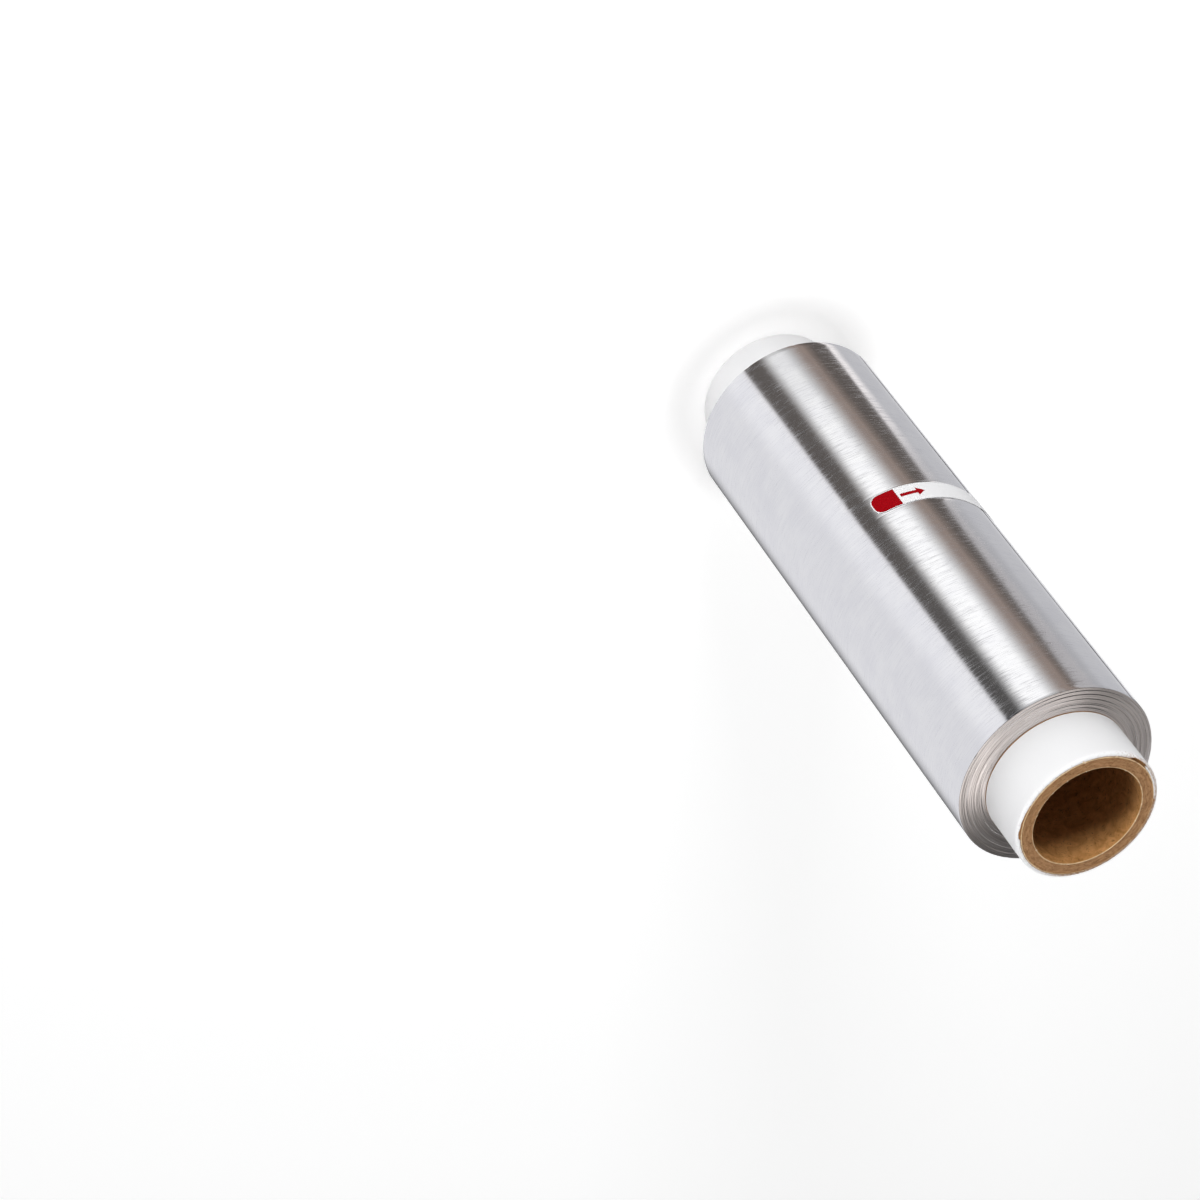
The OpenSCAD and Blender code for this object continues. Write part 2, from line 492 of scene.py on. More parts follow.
def sheet_mesh(name: str, angle: np.ndarray, height: np.ndarray, inner: np.ndarray,
               outer: np.ndarray) -> bpy.types.Mesh:
    """Unrolled mesh of a thin closed sheet that lies round the roll.

    Args:
        name: Name of the mesh.
        angle: Angle in radians of each column, rising.
        height: Height of each vertex, with one row for each column of the sheet, rising.
        inner: Radius of the sheet's inner side at the same vertices.
        outer: Radius of its outer side.

    Returns:
        The mesh.
    """
    columns, rows = height.shape
    around = np.repeat(angle, rows)
    outside = np.stack([around, outer.ravel(), height.ravel()], 1)
    inside = np.stack([around, inner.ravel(), height.ravel()], 1)
    front = grid_faces(columns, rows, closed=False)
    back = front[:, ::-1] + columns * rows
    numbers = np.arange(columns * rows).reshape(columns, rows)
    rim = np.concatenate([numbers[:-1, 0], numbers[-1, :-1], numbers[:0:-1, -1], numbers[0, :0:-1]])
    after = np.roll(rim, -1)
    edge = np.stack([rim, rim + columns * rows, after + columns * rows, after], 1)
    mesh = bpy.data.meshes.new(name)
    mesh.from_pydata(np.concatenate([outside, inside]).tolist(), [],
                     np.concatenate([front, back, edge]).tolist())
    return mesh


def register(piece: bpy.types.Object, slot: Slot, *nodes: str) -> bpy.types.Object:
    """Fixes a finished piece to the roll, hides the solids that it stands for, and reports it.

    Args:
        piece: The finished object.
        slot: Material slot that it takes its finish from; not used.
        nodes: Solids of the model that it stands for.

    Returns:
        The same object.
    """
    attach(piece, BODY)
    if nodes:
        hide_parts(*nodes)
    log.info("%s: %d faces", piece.name, len(piece.data.polygons))
    return piece


@dataclass(frozen=True)
class RolledFoil:
    """Household aluminium foil, bright side out, as it leaves the last pass of the rolling mill.

    The rolls leave fine lines along the sheet, which runs round the roll. They sway the reflection a
    little and spread it along the axis, and handling adds slanting hair lines and faint dull clouds.
    Each mark grows between two values of its noise.
    """

    name: str = "rolled_aluminium_foil"
    colour: str = "#f1f1f2"
    roughness: float = 0.1
    streak_roughness: float = 0.22
    streak_anisotropy: float = 0.7
    streak_width: float = 0.55 * MM  # real rolling lines are finer than 0.05 mm and wouldn't show
    streak_length: float = 11 * MM
    streak_slant: tuple[float, float, float] = (4.0, -3.0, 0.0)
    streak_from: float = 0.5
    streak_full: float = 0.75
    sway: float = 0.038
    hair_width: float = 0.36 * MM
    hair_length: float = 8 * MM
    hair_slant: tuple[float, float, float] = (-13.0, 9.0, 0.0)
    hair_from: float = 0.6
    hair_full: float = 0.72
    dulled: str = "#e9e9ec"
    cloud_size: float = 14 * MM
    cloud_from: float = 0.78
    cloud_full: float = 1.22
    quarter_turn: float = 0.25

    def _lines(self, tree: bpy.types.NodeTree, place: bpy.types.NodeSocket, width: float, length: float,
               slant: tuple[float, float, float]) -> bpy.types.Node:
        """Adds noise that is drawn out round the roll.

        Args:
            tree: The material's node tree.
            place: Position on the piece.
            width: Width of one line.
            length: Length of one line.
            slant: Turn of the lines about each axis, in degrees.

        Returns:
            The noise node.
        """
        slanted = add_node(tree, "ShaderNodeMapping", {
            "Vector": place, "Rotation": [math.radians(a) for a in slant]})
        drawn_out = add_node(tree, "ShaderNodeMapping", {
            "Vector": slanted, "Scale": (1 / length, 1 / length, 1 / width)})
        return add_node(tree, "ShaderNodeTexNoise", {
            "Vector": drawn_out, "Scale": 1.0, "Detail": 2.0, "Roughness": 0.6, "Distortion": 0.2})

    def build(self) -> bpy.types.Material:
        """Makes the material."""
        material, tree = new_material(self.name)
        place = add_node(tree, "ShaderNodeTexCoord").outputs["Object"]
        streaks = self._lines(tree, place, self.streak_width, self.streak_length, self.streak_slant)
        hairs = self._lines(tree, place, self.hair_width, self.hair_length, self.hair_slant)
        streaked = add_node(tree, "ShaderNodeMapRange", {
            0: streaks, 1: self.streak_from, 2: self.streak_full})
        scratched = add_node(tree, "ShaderNodeMapRange", {
            0: hairs, 1: self.hair_from, 2: self.hair_full})
        either = add_node(tree, "ShaderNodeMath", {0: streaked, 1: scratched}, operation="MAXIMUM")
        roughness = add_node(tree, "ShaderNodeMath", {
            0: either, 1: self.streak_roughness, 2: self.roughness}, operation="MULTIPLY_ADD")
        anisotropy = add_node(tree, "ShaderNodeMath", {0: either, 1: self.streak_anisotropy},
                              operation="MULTIPLY")

        clouds = add_node(tree, "ShaderNodeTexNoise", {
            "Vector": place, "Scale": 1 / self.cloud_size, "Detail": 3.0, "Roughness": 0.55})
        handled = add_node(tree, "ShaderNodeMath", {0: streaks, 1: clouds}, operation="ADD")
        dull = add_node(tree, "ShaderNodeMapRange", {0: handled, 1: self.cloud_from, 2: self.cloud_full})
        tint = add_node(tree, "ShaderNodeMix", {
            0: dull, 6: linear(self.colour), 7: linear(self.dulled)}, data_type="RGBA")

        tangent = add_node(tree, "ShaderNodeTangent", direction_type="RADIAL", axis="Z")
        centred = add_node(tree, "ShaderNodeMath", {0: streaks, 1: 0.5}, operation="SUBTRACT")
        lean = add_node(tree, "ShaderNodeMath", {0: centred, 1: self.sway}, operation="MULTIPLY")
        aside = add_node(tree, "ShaderNodeVectorMath", {0: tangent, "Scale": lean}, operation="SCALE")
        upright = add_node(tree, "ShaderNodeNewGeometry").outputs["Normal"]
        swayed = add_node(tree, "ShaderNodeVectorMath", {0: upright, 1: aside}, operation="ADD")
        normal = add_node(tree, "ShaderNodeVectorMath", {0: swayed}, operation="NORMALIZE")
        add_surface(tree, {
            "Base Color": tint.outputs[2], "Metallic": 1.0, "Roughness": roughness, "Normal": normal,
            "Anisotropic": anisotropy, "Anisotropic Rotation": self.quarter_turn, "Tangent": tangent})
        return material


@dataclass(frozen=True)
class SlitFoilEdges:
    """Edges of the foil's turns where the sheet was slit to width, packed side by side.

    The slit edges are duller and warmer than the face. The burr that the knives leave leans them
    outwards, so that they catch the light by sectors, and groups of turns lean more or less than
    their neighbours and show as fine arcs that fade in and out round the roll.
    """

    name: str = "slit_foil_edges"
    colour: str = "#d2cbc8"
    shade: str = "#988f8b"
    shade_below: float = 0.28
    colour_above: float = 0.48
    roughness: float = 0.28
    burr_lean: float = 0.28
    line_lean: float = 0.22
    line_width: float = 0.5 * MM  # one turn is 0.0125 mm wide and wouldn't show
    line_turn: float = 0.8

    def build(self) -> bpy.types.Material:
        """Makes the material."""
        material, tree = new_material(self.name)
        place = add_node(tree, "ShaderNodeTexCoord").outputs["Object"]
        outward, ringed = add_ring_place(tree, place, self.line_turn, self.line_width)
        lines = add_node(tree, "ShaderNodeTexNoise", {
            "Vector": ringed, "Scale": 1.0, "Detail": 3.0, "Roughness": 0.6})
        share = add_node(tree, "ShaderNodeMapRange", {
            0: lines, 1: self.shade_below, 2: self.colour_above})
        tint = add_node(tree, "ShaderNodeMix", {
            0: share, 6: linear(self.shade), 7: linear(self.colour)}, data_type="RGBA")
        centred = add_node(tree, "ShaderNodeMath", {0: lines, 1: 0.5}, operation="SUBTRACT")
        lean = add_node(tree, "ShaderNodeMath", {0: centred, 1: self.line_lean, 2: self.burr_lean},
                        operation="MULTIPLY_ADD")
        outwards = add_node(tree, "ShaderNodeVectorMath", {0: outward, "Scale": lean}, operation="SCALE")
        upright = add_node(tree, "ShaderNodeNewGeometry").outputs["Normal"]
        leant = add_node(tree, "ShaderNodeVectorMath", {0: upright, 1: outwards}, operation="ADD")
        normal = add_node(tree, "ShaderNodeVectorMath", {0: leant}, operation="NORMALIZE")
        add_surface(tree, {
            "Base Color": tint.outputs[2], "Metallic": 1.0, "Roughness": self.roughness,
            "Normal": normal})
        return material


@dataclass(frozen=True)
class KraftBoard:
    """Recycled kraft board: matt, faintly mottled, with short darker fibres, and pale edges that are
    partly scuffed and partly a painted highlight.
    """

    name: str
    colour: str
    shade: str
    fibre: str = "#4a3018"
    scuff_and_highlight_colour: str = "#dcc29a"
    roughness: float = 0.82
    shine: float = 0.25
    mottle_size: float = 5 * MM
    shade_below: float = 0.35
    colour_above: float = 0.65
    fibre_size: float = 2.2 * MM
    fibre_line: float = 0.045
    fibre_depth: float = 0.75
    fibre_gaps: float = 1.3  # how much closer together the gaps are than the bends
    fibre_from: float = 0.5
    fibre_full: float = 0.6
    scuff_and_highlight_from: float = 0.9
    scuff_and_highlight_full: float = 1.4
    bump: float = 0.5
    bump_height: float = 0.12 * MM

    def _mottle(self, tree: bpy.types.NodeTree, place: bpy.types.NodeSocket) -> bpy.types.Node:
        """Adds the noise that mottles the board.

        Args:
            tree: The material's node tree.
            place: Position on the piece.

        Returns:
            The noise node.
        """
        return add_node(tree, "ShaderNodeTexNoise", {
            "Vector": place, "Scale": 1 / self.mottle_size, "Detail": 5.0, "Roughness": 0.65,
            "Distortion": 0.8})

    def _fibres(self, tree: bpy.types.NodeTree, place: bpy.types.NodeSocket) -> bpy.types.Node:
        """Adds the fibres: thin winding lines that a second noise cuts short.

        Args:
            tree: The material's node tree.
            place: Position on the piece.

        Returns:
            Node with the share of fibre.
        """
        paths = add_node(tree, "ShaderNodeTexNoise", {
            "Vector": place, "Scale": 1 / self.fibre_size, "Detail": 1.0, "Roughness": 0.5,
            "Distortion": 1.4})
        gaps = add_node(tree, "ShaderNodeTexNoise", {
            "Vector": place, "Scale": self.fibre_gaps / self.fibre_size, "Detail": 1.0,
            "Roughness": 0.5})
        off = add_node(tree, "ShaderNodeMath", {0: paths, 1: 0.5}, operation="SUBTRACT")
        away = add_node(tree, "ShaderNodeMath", {0: off}, operation="ABSOLUTE")
        line = add_node(tree, "ShaderNodeMapRange", {
            0: away, 1: 0.0, 2: self.fibre_line, 3: self.fibre_depth, 4: 0.0})
        kept = add_node(tree, "ShaderNodeMapRange", {0: gaps, 1: self.fibre_from, 2: self.fibre_full})
        return add_node(tree, "ShaderNodeMath", {0: line, 1: kept}, operation="MULTIPLY")

    def build(self) -> bpy.types.Material:
        """Makes the material."""
        material, tree = new_material(self.name)
        place = add_node(tree, "ShaderNodeTexCoord").outputs["Object"]
        mottle = self._mottle(tree, place)
        even = add_node(tree, "ShaderNodeMapRange", {
            0: mottle, 1: self.shade_below, 2: self.colour_above})
        ground = add_node(tree, "ShaderNodeMix", {
            0: even, 6: linear(self.shade), 7: linear(self.colour)}, data_type="RGBA")
        flecked = add_node(tree, "ShaderNodeMix", {
            0: self._fibres(tree, place), 6: ground.outputs[2], 7: linear(self.fibre)}, data_type="RGBA")
        wear_and_painted_light = add_node(tree, "ShaderNodeAttribute", attribute_name="wear_and_painted_light").outputs["Fac"]
        ragged = add_node(tree, "ShaderNodeMath", {0: mottle, 1: wear_and_painted_light}, operation="ADD")
        # pale where the attribute is high: scuffs, and the painted highlight on the tube's edges
        pale = add_node(tree, "ShaderNodeMapRange", {0: ragged, 1: self.scuff_and_highlight_from, 2: self.scuff_and_highlight_full})
        tint = add_node(tree, "ShaderNodeMix", {
            0: pale, 6: flecked.outputs[2], 7: linear(self.scuff_and_highlight_colour)}, data_type="RGBA")
        bump = add_node(tree, "ShaderNodeBump", {
            "Strength": self.bump, "Distance": self.bump_height, "Height": mottle})
        add_surface(tree, {
            "Base Color": tint.outputs[2], "Roughness": self.roughness, "Normal": bump,
            "Specular IOR Level": self.shine})
        return material


@dataclass(frozen=True)
class CutBoard(KraftBoard):
    """Cut end of a spirally wound board tube, where the plies draw the mottle out round the axis."""

    ply_width: float = 0.9 * MM  # one ply is 0.4 mm thick and would hardly show
    ply_turn: float = 9.0

    def _mottle(self, tree: bpy.types.NodeTree, place: bpy.types.NodeSocket) -> bpy.types.Node:
        """Adds the noise that mottles the cut plies.

        Args:
            tree: The material's node tree.
            place: Position on the piece.

        Returns:
            The noise node.
        """
        ringed = add_ring_place(tree, place, self.ply_turn, self.ply_width)[1]
        return add_node(tree, "ShaderNodeTexNoise", {
            "Vector": ringed, "Scale": 1.0, "Detail": 5.0, "Roughness": 0.6, "Distortion": 0.5})


@dataclass(frozen=True)
class WhiteFacing:
    """White coated paper that faces the core: satin, smooth, with kraft showing where it is torn, and
    the same brown-grey as painted shade on one side of the lip.
    """

    name: str = "white_coated_paper"
    colour: str = "#f8f8f9"
    torn: str = "#9a7148"
    torn_and_shade_from: float = 0.75
    torn_and_shade_full: float = 1.35
    roughness: float = 0.42
    grain_size: float = 1.2 * MM
    bump: float = 0.12
    bump_height: float = 0.03 * MM

    def build(self) -> bpy.types.Material:
        """Makes the material."""
        material, tree = new_material(self.name)
        place = add_node(tree, "ShaderNodeTexCoord").outputs["Object"]
        grain = add_node(tree, "ShaderNodeTexNoise", {
            "Vector": place, "Scale": 1 / self.grain_size, "Detail": 3.0, "Roughness": 0.6})
        wear_and_painted_light = add_node(tree, "ShaderNodeAttribute", attribute_name="wear_and_painted_light").outputs["Fac"]
        ragged = add_node(tree, "ShaderNodeMath", {0: grain, 1: wear_and_painted_light}, operation="ADD")
        # the torn colour also paints shade on one side of the facing's lip
        share = add_node(tree, "ShaderNodeMapRange", {0: ragged, 1: self.torn_and_shade_from, 2: self.torn_and_shade_full})
        tint = add_node(tree, "ShaderNodeMix", {
            0: share, 6: linear(self.colour), 7: linear(self.torn)}, data_type="RGBA")
        bump = add_node(tree, "ShaderNodeBump", {
            "Strength": self.bump, "Distance": self.bump_height, "Height": grain})
        add_surface(tree, {
            "Base Color": tint.outputs[2], "Roughness": self.roughness, "Normal": bump})
        return material


@dataclass(frozen=True)
class LabelPaper:
    """Thin white gummed paper, calendered smooth, with a faint grain."""

    name: str = "gummed_label_paper"
    colour: str = "#fbfbfc"
    shade: str = "#f6f6f8"
    roughness: float = 0.5
    grain_size: float = 0.8 * MM
    bump: float = 0.1
    bump_height: float = 0.02 * MM

    def build(self) -> bpy.types.Material:
        """Makes the material."""
        material, tree = new_material(self.name)
        place = add_node(tree, "ShaderNodeTexCoord").outputs["Object"]
        grain = add_node(tree, "ShaderNodeTexNoise", {
            "Vector": place, "Scale": 1 / self.grain_size, "Detail": 2.0, "Roughness": 0.5})
        tint = add_node(tree, "ShaderNodeMix", {
            0: grain, 6: linear(self.shade), 7: linear(self.colour)}, data_type="RGBA")
        bump = add_node(tree, "ShaderNodeBump", {
            "Strength": self.bump, "Distance": self.bump_height, "Height": grain})
        add_surface(tree, {
            "Base Color": tint.outputs[2], "Roughness": self.roughness, "Normal": bump})
        return material


@dataclass(frozen=True)
class RedInk:
    """Red flexographic ink on paper: even, a little glossier than the paper, faintly mottled."""

    name: str = "red_flexo_ink"
    colour: str = "#9a000a"
    thin: str = "#a60010"
    roughness: float = 0.45
    shine: float = 0.04
    mottle_size: float = 1.5 * MM

    def build(self) -> bpy.types.Material:
        """Makes the material."""
        material, tree = new_material(self.name)
        place = add_node(tree, "ShaderNodeTexCoord").outputs["Object"]
        mottle = add_node(tree, "ShaderNodeTexNoise", {
            "Vector": place, "Scale": 1 / self.mottle_size, "Detail": 3.0, "Roughness": 0.6})
        tint = add_node(tree, "ShaderNodeMix", {
            0: mottle, 6: linear(self.colour), 7: linear(self.thin)}, data_type="RGBA")
        add_surface(tree, {
            "Base Color": tint.outputs[2], "Roughness": self.roughness,
            "Specular IOR Level": self.shine})
        return material


@dataclass
class CoreTube:
    """Brown cardboard tube that the foil is wound on.

    Each cut end is rounded off at its edges, and a lip stands up just inside them. The edges are
    painted pale, partly as scuffing and partly as a painted highlight on the rounded edge.
    """

    sizes: RollSizes
    steps: int = 320
    rim_points: int = 22
    wall_points: int = 40
    end_play: float = 0.1 * MM
    rim_setback: float = 0.22 * MM
    rim_round: float = 0.12 * MM
    lip_inset: float = 0.3 * MM
    lip_width: float = 0.25 * MM
    scuff_and_highlight_inset: float = 0.2 * MM
    scuff_and_highlight_width: float = 0.3 * MM
    wall_margin: float = 0.4 * MM
    relief: Relief = field(default_factory=lambda: Relief(
        band_height=0.12 * MM, band_width=0.9 * MM, band_turn=2.5, seed=3.0))

    def outline(self) -> tuple[np.ndarray, np.ndarray, np.ndarray]:
        """Radius, height, and wear and painted highlight of the tube's closed outline, the same at every
        step.
        """
        s = self.sizes
        radius = s.bore_r + (s.tube_r - s.bore_r) * np.linspace(0, 1, self.rim_points)
        inset = np.minimum(radius - s.bore_r, s.tube_r - radius)
        lip = np.exp(-((inset - self.lip_inset) / self.lip_width) ** 2)
        drop = self.rim_setback * (1 - lip) + np.exp(-inset / self.rim_round) * self.rim_round
        drop = drop + self.end_play
        # pale band near each edge of a cut end: partly scuffed fibres, partly a painted highlight
        scuff_and_highlight = np.exp(-((inset - self.scuff_and_highlight_inset) / self.scuff_and_highlight_width) ** 2)
        high = s.core_high - drop
        bore = np.linspace(high[0] - self.wall_margin, drop[0] + self.wall_margin, self.wall_points)
        outer = np.linspace(drop[-1] + self.wall_margin, high[-1] - self.wall_margin, self.wall_points)
        radii = np.concatenate([radius, np.full(outer.size, s.tube_r), radius[::-1],
                                np.full(bore.size, s.bore_r)])
        heights = np.concatenate([drop, outer, high[::-1], bore])
        wear_and_painted_light = np.concatenate([scuff_and_highlight, np.zeros(outer.size), scuff_and_highlight[::-1], np.zeros(bore.size)])
        return tuple(np.tile(row, (self.steps, 1)) for row in (radii, heights, wear_and_painted_light))

    def build(self, winder: Winder) -> bpy.types.Object:
        """Makes the tube.

        Args:
            winder: Tree that winds it up.

        Returns:
            The finished piece.
        """
        mesh = outline_mesh("core_tube_flat", *self.outline())
        liner = KraftBoard("kraft_liner", colour="#d49c62", shade="#ac7a45", fibre="#5c3c1c",
                           fibre_size=3.2 * MM, fibre_line=0.034).build()
        cut = CutBoard("kraft_board_cut", colour="#b48a62", shade="#8e6848").build()
        tube = winder.wind(mesh, "cardboard_tube", liner, cut, self.relief, self.sizes.tube_r)
        return register(tube, Slot.BOARD, "core_tube")


@dataclass
class RimTufts:
    """Torn flakes and fibre tufts that the knife leaves along the lips of the tube's cut ends.

    A Geometry Nodes tree sets flattened flakes on points along the lips and turns each its own way.
    Most lie on the lip of the bore, and most on the upper end. The nicks are the larger flakes that
    stand on the outer lip, each by its angle in degrees, its radius in millimetres and its size.
    """

    sizes: RollSizes
    count: int = 84
    length: float = 0.55 * MM
    width: float = 0.22 * MM
    thickness: float = 0.07 * MM
    sunk: float = 0.19 * MM
    lip_inset: float = 0.2 * MM
    outer_every: int = 3
    lower_every: int = 4
    smallest: float = 0.35
    size_pace: float = 12.9
    tilt: float = 0.15
    seed: int = 11
    nicks: tuple[tuple[float, float, float], ...] = (
        (-141.0, 34.5, 1.7), (-113.0, 34.6, 2.2), (-100.0, 34.5, 1.5))

    def _points(self) -> bpy.types.Mesh:
        """Points along the lips, each with the share of the full size that its flake has."""
        s = self.sizes
        number = np.arange(self.count)
        nick_angle, nick_radius, nick_size = np.array(self.nicks).T
        on_outer = number % self.outer_every == 0
        at_foot = number % self.lower_every == 1
        swing = np.abs(np.sin(number * self.size_pace)) ** 2
        angle = np.concatenate([number * GOLDEN_ANGLE, np.radians(nick_angle)])
        radius = np.concatenate([
            np.where(on_outer, s.tube_r - self.lip_inset, s.bore_r + self.lip_inset), nick_radius * MM])
        size = np.concatenate([self.smallest + (1 - self.smallest) * swing, nick_size])
        height = np.full(angle.size, s.core_high - self.sunk)
        height[:self.count][at_foot] = self.sunk
        points = np.stack([radius * np.cos(angle), radius * np.sin(angle), height], 1)
        mesh = bpy.data.meshes.new("tuft_points")
        mesh.from_pydata(points.tolist(), [], [])
        sizes = mesh.attributes.new("size", "FLOAT", "POINT")
        sizes.data.foreach_set("value", size.astype(np.float32))
        return mesh

    def _tree(self) -> tuple[bpy.types.NodeTree, dict[str, str]]:
        """Makes the node tree and returns it with the identifiers of its named inputs."""
        tree, sockets = new_shape_tree("rim_tufts", {
            "Flake Size": "NodeSocketVector", "Seed": "NodeSocketInt", "Material": "NodeSocketMaterial"})
        given = add_node(tree, "NodeGroupInput").outputs
        flake = add_node(tree, "GeometryNodeMeshIcoSphere", {"Radius": 1.0, "Subdivisions": 2})
        turn = add_node(tree, "FunctionNodeRandomValue", {
            0: (-self.tilt, -self.tilt, 0.0), 1: (self.tilt, self.tilt, math.tau),
            "Seed": given["Seed"]}, data_type="FLOAT_VECTOR")
        share = add_node(tree, "GeometryNodeInputNamedAttribute", {"Name": "size"}, data_type="FLOAT")
        scale = add_node(tree, "ShaderNodeVectorMath", {0: given["Flake Size"], "Scale": share},
                         operation="SCALE")
        placed = add_node(tree, "GeometryNodeInstanceOnPoints", {
            "Points": given["Geometry"], "Instance": flake, "Rotation": turn, "Scale": scale})
        real = add_node(tree, "GeometryNodeRealizeInstances", {"Geometry": placed})
        dressed = add_node(tree, "GeometryNodeSetMaterial", {
            "Geometry": real, "Material": given["Material"]})
        add_node(tree, "NodeGroupOutput", {"Geometry": dressed})
        return tree, sockets

    def build(self) -> bpy.types.Object:
        """Makes the flakes."""
        tree, sockets = self._tree()
        finish = KraftBoard("kraft_flakes", colour="#f0e0c8", shade="#d8bc94").build()
        tufts = shape_with_tree(self._points(), "rim_tufts", tree, {
            sockets["Flake Size"]: (self.length, self.width, self.thickness),
            sockets["Seed"]: self.seed, sockets["Material"]: finish})
        return register(tufts, Slot.BOARD)


@dataclass
class CoreFacing:
    """White facing round the tube, with a rounded lip that is cracked and lifted in places.

    A fine groove runs round the lip where the facing meets the tube. It wanders out through the
    lip where the paper has cracked, and opens where the facing has come away from the tube. On the
    upper end, painted shade tints one side of the lip brown-grey. Each place runs from one angle
    to another, in degrees, and fades out over its feather.
    """

    sizes: RollSizes
    steps: int = 360
    wall_points: int = 40
    wall_margin: float = 4 * MM
    inner_points: int = 5
    outer_points: int = 14
    lip: float = 1.6 * MM
    setback: float = 0.4 * MM
    groove_inset: float = 0.22 * MM
    groove_width: float = 0.16 * MM
    groove_depth: float = 0.35 * MM
    groove_waver: float = 0.06 * MM
    groove_shift: float = 0.8
    groove_profile: tuple[float, float, float] = (0.8, 1.0, 0.8)
    crack_from: float = -60.0
    crack_to: float = -28.0
    crack_feather: float = 3.0
    crack_reach: float = 1.15 * MM
    crack_notch: float = 0.15
    crack_notches: int = 41
    crack_sunk: float = 0.25 * MM
    gap_from: float = -173.0
    gap_to: float = -159.0
    gap_feather: float = 5.0
    gap_width: float = 0.75 * MM
    gap_depth: float = 2.4 * MM
    lifted_from: float = -208.0
    lifted_to: float = -176.0
    lifted_feather: float = 9.0
    lifted_width: float = 0.6 * MM
    lifted_depth: float = 0.8 * MM
    shaded_lip_from: float = 50.0
    shaded_lip_to: float = 190.0
    shaded_lip_feather: float = 40.0
    groove_wear: float = 1.2
    tube_wear: float = 0.25
    torn_wear: float = 0.85
    lip_wear: float = 0.35
    slope_wear_and_shade: float = 0.4
    crest_wear_and_shade: float = 0.3
    seam: float = 0.3 * MM
    seam_wear: float = 1.2
    relief: Relief = field(default_factory=lambda: Relief(
        dent_depth=0.04 * MM, dent_length=12 * MM, seed=5.0))

    def _opened(self, closed: float, gap: np.ndarray, gap_size: float, lifted: np.ndarray,
                lifted_size: float) -> np.ndarray:
        """Width or depth of the groove, which grows to that of the gap and of the lifted stretch.

        Args:
            closed: Size of the groove elsewhere.
            gap: Share of the gap at each step.
            gap_size: Size of the groove in the gap.
            lifted: Share of the lifted stretch at each step.
            lifted_size: Size of the groove there.

        Returns:
            The size at each step.
        """
        return np.maximum(closed + (gap_size - closed) * gap, closed + (lifted_size - closed) * lifted)

    def _rim(self, end: End) -> tuple[np.ndarray, np.ndarray, np.ndarray]:
        """Rim of one end, from the tube out to the wall.

        Args:
            end: Which end of the core.

        Returns:
            Radius, distance below the core's full length, and wear and painted shade of each point at
            every step.
        """
        s = self.sizes
        angle = np.arange(self.steps)[:, None] * 360 / self.steps
        turn = np.radians(angle)
        damaged = 1.0 if end is End.UPPER else 0.0
        into_crack = ((angle + 180) % 360 - 180 - self.crack_from) / (self.crack_to - self.crack_from)
        notched = 1 - self.crack_notch + self.crack_notch * np.sin(turn * self.crack_notches)
        in_crack = smooth_window(angle, self.crack_from, self.crack_to, self.crack_feather)
        crack = damaged * np.clip(into_crack, 0, 1) * notched * in_crack
        gap = damaged * smooth_window(angle, self.gap_from, self.gap_to, self.gap_feather)
        lifted = damaged * smooth_window(angle, self.lifted_from, self.lifted_to, self.lifted_feather)
        # painted shade: one side of the upper lip is tinted brown-grey so that it looks shaded
        shaded_lip = damaged * smooth_window(angle, self.shaded_lip_from, self.shaded_lip_to,
                                          self.shaded_lip_feather)
        torn = np.minimum(crack * 3, 1)

        width = self._opened(self.groove_width, gap, self.gap_width, lifted, self.lifted_width)
        depth = self._opened(self.groove_depth, gap, self.gap_depth, lifted, self.lifted_depth)
        waver = self.groove_waver * np.sin(turn * 7) * np.sin(turn * 3 + 1)
        centre = s.tube_r + self.groove_inset + waver + self.groove_shift * (width - self.groove_width)
        centre = centre + self.crack_reach * crack
        inner = s.tube_r + (centre - width - s.tube_r) * np.linspace(0, 1, self.inner_points)
        groove = centre + width * np.array([-0.5, 0.0, 0.5])
        outer = centre + width + (s.core_r - centre - width) * np.linspace(0, 1, self.outer_points)
        radius = np.concatenate([inner, groove, outer], 1)

        on_tube = np.zeros(radius.shape[1])
        on_tube[:self.inner_points] = 1
        hollow = np.zeros(radius.shape[1])
        hollow[self.inner_points:self.inner_points + 3] = self.groove_profile
        across = np.clip((radius - (s.core_r - self.lip)) / self.lip, 0, 1)
        drop = self.setback + self.lip * (1 - np.sqrt(1 - across * across))
        drop = drop + depth * hollow + self.crack_sunk * torn * on_tube
        wear_and_painted_light = hollow * (self.groove_wear - lifted * (1 - gap))
        wear_and_painted_light = wear_and_painted_light + on_tube * (self.tube_wear + self.torn_wear * torn)
        on_lip = (1 - hollow) * (self.slope_wear_and_shade + self.crest_wear_and_shade * (1 - across))
        # the shaded side of the upper lip takes more of the brown-grey, as painted shade
        wear_and_painted_light = wear_and_painted_light + (self.lip_wear + (1 - self.lip_wear) * shaded_lip) * on_lip
        return radius, drop, wear_and_painted_light

